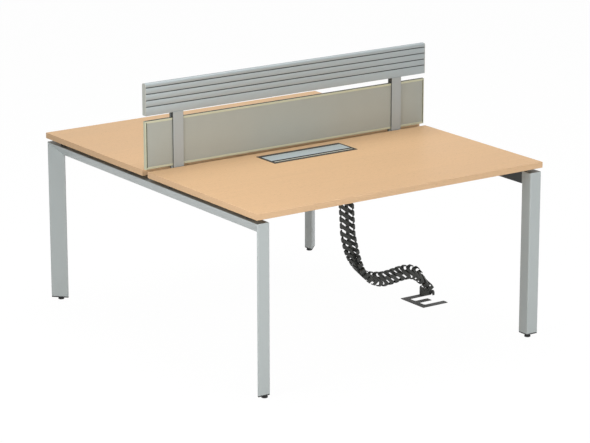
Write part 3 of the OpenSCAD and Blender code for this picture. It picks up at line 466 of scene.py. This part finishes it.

# Painted shade on the frame: a dark grey on its top edge under the tool rail, and on the
# upright beads beside the cloth, where the cloth's recess lies in shade.
trim_painted_shade = finish("frame_painted_shade", (92, 94, 80), roughness=0.6, fine=(2200, 0.15),
                    broad=(9, 0.05), relief=0.00003)


def painted_shade_faces(centre, normal):
    """The faces painted with shade: the frame's top edge and the upright beads' part by the cloth.
    """
    skin = 0.0003
    inwards = high.x - abs(centre[0])
    top_edge = (normal[2] > square_on) & (centre[2] > high.z - skin)
    return top_edge | (abs(normal[1]) > square_on) & (shade_from < inwards) & (inwards < bead)


second_finish(screen_frame, trim_painted_shade, painted_shade_faces)


# Posts: flat steel bars in front of and behind the screen, joined above it by a dark block
# whose tongue stands in the tool rail.

def prism(outline, axis, start, end):
    """An outline carried from start to end along an axis; the outline's two coordinates are the
    other two axes in the order X, Y, Z."""
    outline = np.asarray(outline, float)
    rows = [np.insert(outline, axis, place, axis=1) for place in (start, end)]
    count = len(outline)
    ends = [list(range(count)), list(range(count, 2 * count))]
    return np.vstack(rows), quads(2, count, False, True).tolist() + ends


def bar(low, high):
    """A box between two corners."""
    (x0, y0, z0), (x1, y1, z1) = low, high
    return prism([(x0, y0), (x1, y0), (x1, y1), (x0, y1)], 2, z0, z1)


post_grey = finish("post_powder_coat", (170, 176, 176), roughness=0.45, fine=(1400, 0.05),
                   broad=(4, 0.03), relief=0.00004)
# the bars' side faces, towards X, get a dark grey as painted shade beside the cloth
post_side_shade = finish("post_painted_shade_coat", (84, 87, 84), roughness=0.55, fine=(1400, 0.08),
                   broad=(4, 0.04), relief=0.00004)
for name in ("post_left_front", "post_left_rear", "post_right_front", "post_right_rear"):
    flat_bar = piece(name + "_bar", [bar(*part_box(name))], post_grey, "desk", [name],
                     bevel=0.0008, segments=3)
    second_finish(flat_bar, post_side_shade, lambda centre, normal: abs(normal[0]) > square_on)
filler = finish("dark_filler", (74, 76, 74), roughness=0.6, fine=(2200, 0.2), broad=(9, 0.06),
                relief=0.00005)
dress(filler, "post_upper_cores")


# Tool rail: an aluminium extrusion with four hook grooves in each face. The bands between
# them bulge a little, the lips of the grooves are rolled, and a moulded plate closes each
# end.

low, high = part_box("tool_rail")
rail_half, rail_foot, rail_top = high.y, low.z, high.z
groove_count, groove_open, groove_depth = 4, 0.0035, 0.006
groove_pitch, groove_first = 0.026, 0.017
hook_rise, hook_wall = 0.005, 0.003
bulge, lip, crown = 0.0008, 0.0007, 0.007
face = rail_half - bulge


def band(foot, top):
    """The face of one band from foot to top, between rolled lips: at a share t of its height it
    stands out by 4 * bulge * t * (1 - t)."""
    t = np.linspace(0, 1, 13)[1:-1]
    return np.vstack([arc((face - lip, foot + lip), lip, -90, -10, 3),
                      np.stack([face + bulge * 4 * t * (1 - t), foot + t * (top - foot)], -1),
                      arc((face - lip, top - lip), lip, 10, 90, 3)])


crown_arc = arc((rail_half - crown, rail_top - crown), crown, 0, 90, 8)
groove_feet = [rail_top - groove_first - i * groove_pitch - groove_open / 2
               for i in reversed(range(groove_count))]
side_profile = []
foot = rail_foot
for groove_foot in groove_feet:
    groove_top = groove_foot + groove_open
    side_profile += [
        band(foot, groove_foot),
        # the hook pocket rises behind the upper lip of the groove
        [(rail_half - groove_depth, groove_foot),
         (rail_half - groove_depth, groove_top + hook_rise),
         (rail_half - hook_wall, groove_top + hook_rise),
         (rail_half - hook_wall, groove_top)]]
    foot = groove_top
# plain band above the last groove, which swells to plain_face and runs up to the rounded top
plain_face, swell_h = rail_half - 0.0003, 0.00425
side_profile += [arc((face - lip, foot + lip), lip, -90, -10, 3),
                 [(plain_face, foot + swell_h)], crown_arc]
side_profile = np.vstack(side_profile)
outline = np.vstack([side_profile, side_profile[::-1] * (-1, 1)])

anodised = finish("satin_anodised", (167, 176, 178), roughness=0.42, fine=((4, 900, 900), 0.08),
                  broad=((1.5, 30, 30), 0.04), relief=0.00001, metallic=0.25)
# painted shade in the grooves, from groove_edge to groove_dark below the faces; the crown stays
# light
groove_edge, groove_dark, crown_h = 0.0012, 0.0022, 0.012
tree = anodised.node_tree
place = place_on(tree)
across = maths(tree, "ABSOLUTE", place["Y"])
deep = ramp(tree, across, rail_half - groove_edge, rail_half - groove_dark)
below_crown = maths(tree, "LESS_THAN", place["Z"], rail_top - crown_h)
veil(anodised, maths(tree, "MULTIPLY", deep, below_crown), (84, 88, 88))
rail_ends = low.x, high.x
piece("tool_rail_extrusion", [prism(outline, 0, *rail_ends)], anodised, "desk",
      ["tool_rail"], sharp=30)

cap_grey = finish("light_grey_moulding", (190, 192, 184), roughness=0.5, fine=(2600, 0.08),
                  broad=(9, 0.04), relief=0.00004)
cap_outline = np.vstack([[(-rail_half, rail_foot), (rail_half, rail_foot)], crown_arc,
                         crown_arc[::-1] * (-1, 1)])
for side, inner, outer in (("left", rail_ends[0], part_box("tool_rail_cap_left")[0].x),
                           ("right", rail_ends[1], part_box("tool_rail_cap_right")[1].x)):
    piece("tool_rail_end_" + side, [prism(cap_outline, 0, inner, outer)], cap_grey, "desk",
          ["tool_rail_cap_" + side], bevel=0.0008, segments=3)


# Cable flaps: a black moulded frame drops into a cut-out of each top, and its flange covers
# the cut. An anodised lid turns on two pins at the back of the bay; at its free edge are a
# cable slot, a light strip and a second slot.

frame_black = finish("flap_frame_moulding", (36, 36, 33), roughness=0.5, fine=(2600, 0.25),
                     broad=(9, 0.08), relief=0.00005)
lid_silver = finish("lid_anodised", (199, 212, 217), roughness=0.36, fine=((5, 1100, 1100), 0.07),
                    broad=((2, 25, 25), 0.04), relief=0.00001, metallic=0.25)
strip_grey = finish("slot_strip_moulding", (200, 199, 184), roughness=0.5, fine=(2600, 0.1),
                    broad=(9, 0.05), relief=0.00004)
# near-black painted shade that widens the dark gaps of the cable slots
slot_painted_shade = finish("slot_painted_shade", (30, 30, 28), roughness=0.7, fine=(2600, 0.2), broad=(9, 0.06),
                  relief=0.00004)


def depths(low, high):
    """The least and the greatest distance of a box from the middle plane of the desk."""
    return sorted((abs(low.y), abs(high.y)))


def mirrored(parts, out):
    """The parts of a flap as drawn for the rear top, turned to the near side where out is -1."""
    return [(np.asarray(points) * (1, out, 1), faces) for points, faces in parts]


flange, rim, joint = 0.002, 0.0012, 0.0004
skirt_in, wall_in, slot_in = 0.0065, 0.0095, 0.01
lid_gap, hinge_gap = 0.0005, 0.001
barrel, barrel_root, lid_t = 0.0035, 0.0064, 0.003
lid_round, lid_ease, slot_shade_w = 0.001, 0.0006, 0.0024
shelf_drop, shelf_t, shelf_w, shelf_start = 0.0032, 0.0068, 0.008, 0.012
cheek_w, cheek_drop = 0.004, 0.0071
rib_w, rib_top, rib_h = 0.0015, 0.001, 0.0005
for side, out in (("front", -1), ("rear", 1)):
    low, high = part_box("flap_frame_" + side)
    lid_low, lid_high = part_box("flap_lid_" + side)
    strip_low, strip_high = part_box("flap_strip_" + side)
    (back, far), (lid_back, lid_far) = depths(low, high), depths(lid_low, lid_high)
    top, half, lid_half = high.z, high.x, lid_high.x
    bay, bay_back, bay_far = lid_half + lid_gap, lid_back - hinge_gap, far - slot_in
    wall = half - wall_in

    def level(inset, z):
        """The rectangle at an inset from the edge of the flange, at height z."""
        return inset - half, half - inset, back + inset, far - inset, z

    # section of the frame: flange, bay, skirt
    section = [
        level(0, top - flange), *(level(d, z) for d, z in arc((rim, top - rim), rim, 180, 90, 4)),
        (-bay - joint, bay + joint, bay_back - joint, bay_far + joint, top),
        (-bay, bay, bay_back, bay_far, top - joint), (-bay, bay, bay_back, bay_far, top - flange),
        level(wall_in, top - flange), level(wall_in, low.z),
        level(skirt_in, low.z), level(skirt_in, top - flange)]
    # a shelf under the free edge of the lid, and at each end of the bay a shelf under the
    # lid's end and a cheek that carries the strip
    shelf = top - shelf_drop
    shelf_foot, shelf_back = shelf - shelf_t, bay_back + shelf_start
    parts = [ring(section), bar((-wall, lid_far - shelf_w, shelf_foot), (wall, lid_far, shelf))]
    for x0, x1 in ((-wall, cheek_w - wall), (wall - cheek_w, wall)):
        parts += [bar((x0, shelf_back, shelf_foot), (x1, lid_far, shelf)),
                  bar((x0, lid_far, low.z), (x1, far - wall_in, top - cheek_drop))]
    piece("flap_surround_" + side, mirrored(parts, out), frame_black, "desk",
          ["flap_frame_" + side])
    # lid: a plate whose back rolls over into the hinge barrel
    lid_foot = top - lid_t
    outline = [*arc((lid_back + barrel, top - barrel), barrel, 90, 320, 18),
               (lid_back + barrel_root, lid_foot), (lid_far - lid_ease, lid_foot),
               (lid_far, lid_foot + lid_ease),
               *arc((lid_far - lid_round, top - lid_round), lid_round, 0, 90, 4),
               (lid_far - slot_shade_w, top)]
    lid = piece("flap_lid_plate_" + side,
                mirrored([prism(outline, 0, -lid_half, lid_half)], out), lid_silver,
                "flap_lid_" + side, ["flap_lid_" + side], bevel=0.0003, sharp=30)
    # painted shade along the free edge of the lid's top, beside the cable slot
    second_finish(lid, slot_painted_shade, lambda centre, normal: abs(centre[1]) > lid_far - slot_shade_w)
    # strip with a raised rib along each slot
    (y0, y1), z0, z1 = depths(strip_low, strip_high), strip_low.z, strip_high.z
    outline = [(y0, z0), (y1, z0), (y1, z1), (y1 - rib_top, z1), (y1 - rib_w, z1 - rib_h),
               (y0 + rib_w, z1 - rib_h), (y0 + rib_top, z1), (y0, z1)]
    strip = piece("slot_strip_" + side,
                  mirrored([prism(outline, 0, strip_low.x, strip_high.x)], out), strip_grey,
                  "desk", ["flap_strip_" + side], bevel=0.0003)
    # painted shade on the strip's edges beside both cable slots
    second_finish(strip, slot_painted_shade, lambda centre, normal:
                  (abs(centre[1]) <= y0 + rib_w) | (abs(centre[1]) >= y1 - rib_w))


# Cable spine: dark moulded links with a cable chamber on each side of a core. Each hangs by
# its ball in the seat of the next, from a bracket under the tray down to a block on the
# floor, where a steel fork keeps it in place.

spine_dark = finish("spine_moulding", (48, 50, 47), roughness=0.5, fine=(2200, 0.3),
                    broad=(14, 0.2), relief=0.00008)
dress(spine_dark, "spine_bracket", "spine_links", "spine_foot")
plate_dark = finish("floor_plate_powder_coat", (78, 78, 78), roughness=0.6, fine=(1200, 0.15),
                    broad=(14, 0.1), relief=0.00006)
dress(plate_dark, "floor_plate")


# Studio: a pale floor, soft light from the camera's side and above, and the camera where
# the photograph was taken. The backdrop and the floor show white to the camera and in
# gloss.

camera_data = bpy.data.cameras.new("camera")
camera_data.sensor_width = 36
camera_data.lens = 158.7
camera_data.clip_end = 100
camera = bpy.data.objects.new("camera", camera_data)
bpy.context.scene.collection.objects.link(camera)
camera.location = (-5.975, -8.622, 3.348)
look_down, lean, turn = 15.597, 0.059, -34.881
camera.rotation_euler = np.radians((90 - look_down, lean, turn))
bpy.context.scene.camera = camera

reach = 30
floor_mesh = bpy.data.meshes.new("studio_floor")
floor_corners = [(-reach, -reach, 0), (reach, -reach, 0), (reach, reach, 0), (-reach, reach, 0)]
floor_mesh.from_pydata(floor_corners, [], [(0, 1, 2, 3)])
studio_floor = bpy.data.objects.new("studio_floor", floor_mesh)
bpy.context.scene.collection.objects.link(studio_floor)


def seen_white(tree, output, lit, white, share):
    """Puts plain white over a lit shader by a share, for camera, glossy and transmitted rays."""
    path = tree.nodes.new("ShaderNodeLightPath").outputs
    seen = maths(tree, "MAXIMUM", path["Is Camera Ray"], path["Is Glossy Ray"])
    seen = maths(tree, "MAXIMUM", seen, path["Is Transmission Ray"])
    mix = tree.nodes.new("ShaderNodeMixShader")
    tree.links.new(maths(tree, "MULTIPLY", seen, share), mix.inputs["Fac"])
    tree.links.new(tree.nodes[lit].outputs[0], mix.inputs[1])
    tree.links.new(white.outputs[0], mix.inputs[2])
    tree.links.new(mix.outputs[0], tree.nodes[output].inputs["Surface"])


floor_paint = bpy.data.materials.new("studio_floor_paint")
floor_paint.use_nodes = True
tree = floor_paint.node_tree
tree.nodes["Principled BSDF"].inputs["Base Color"].default_value = (0.8, 0.8, 0.8, 1)
tree.nodes["Principled BSDF"].inputs["Roughness"].default_value = 0.9
glow = tree.nodes.new("ShaderNodeEmission")
glow.inputs["Strength"].default_value = 1.02
# the rest of the share is the floor itself, which keeps the desk's shadow
seen_white(tree, "Material Output", "Principled BSDF", glow, share=0.96)
floor_mesh.materials.append(floor_paint)

world = bpy.data.worlds.new("studio")
bpy.context.scene.world = world
world.use_nodes = True
tree = world.node_tree
tree.nodes["Background"].inputs["Color"].default_value = (0.93, 0.96, 1, 1)
tree.nodes["Background"].inputs["Strength"].default_value = 0.08
backdrop = tree.nodes.new("ShaderNodeBackground")
backdrop.inputs["Color"].default_value = (1, 1, 1, 1)
seen_white(tree, "World Output", "Background", backdrop, share=1)


def softbox(name, place, aim, size, power):
    """A square lamp that faces a point.

    With away = place - aim, it is tilted by the angle between away and the vertical, then
    turned about Z to the side that away points to.
    """
    data = bpy.data.lights.new(name, "AREA")
    data.size = size
    data.energy = power
    lamp = bpy.data.objects.new(name, data)
    bpy.context.scene.collection.objects.link(lamp)
    lamp.location = place
    away = np.array(place) - np.array(aim)
    azimuth = np.arctan2(away[0], -away[1])
    lamp.rotation_euler = (np.arctan2(np.hypot(away[0], away[1]), away[2]), 0, azimuth)


softbox("front", place=(0.5, -6.5, 1.5), aim=(0, 0, 0.5), size=3.0, power=158)
softbox("overhead", place=(0.5, 0.5, 5.0), aim=(0, 0, 0.7), size=4.0, power=165)
softbox("left", place=(-6.0, -1.0, 3.0), aim=(0, 0, 0.6), size=3.0, power=62)
softbox("screen", place=(-2.1, -1.2, 1.5), aim=(0.1, 0, 1.0), size=0.9, power=15)

bpy.context.scene.view_settings.view_transform = "Standard"
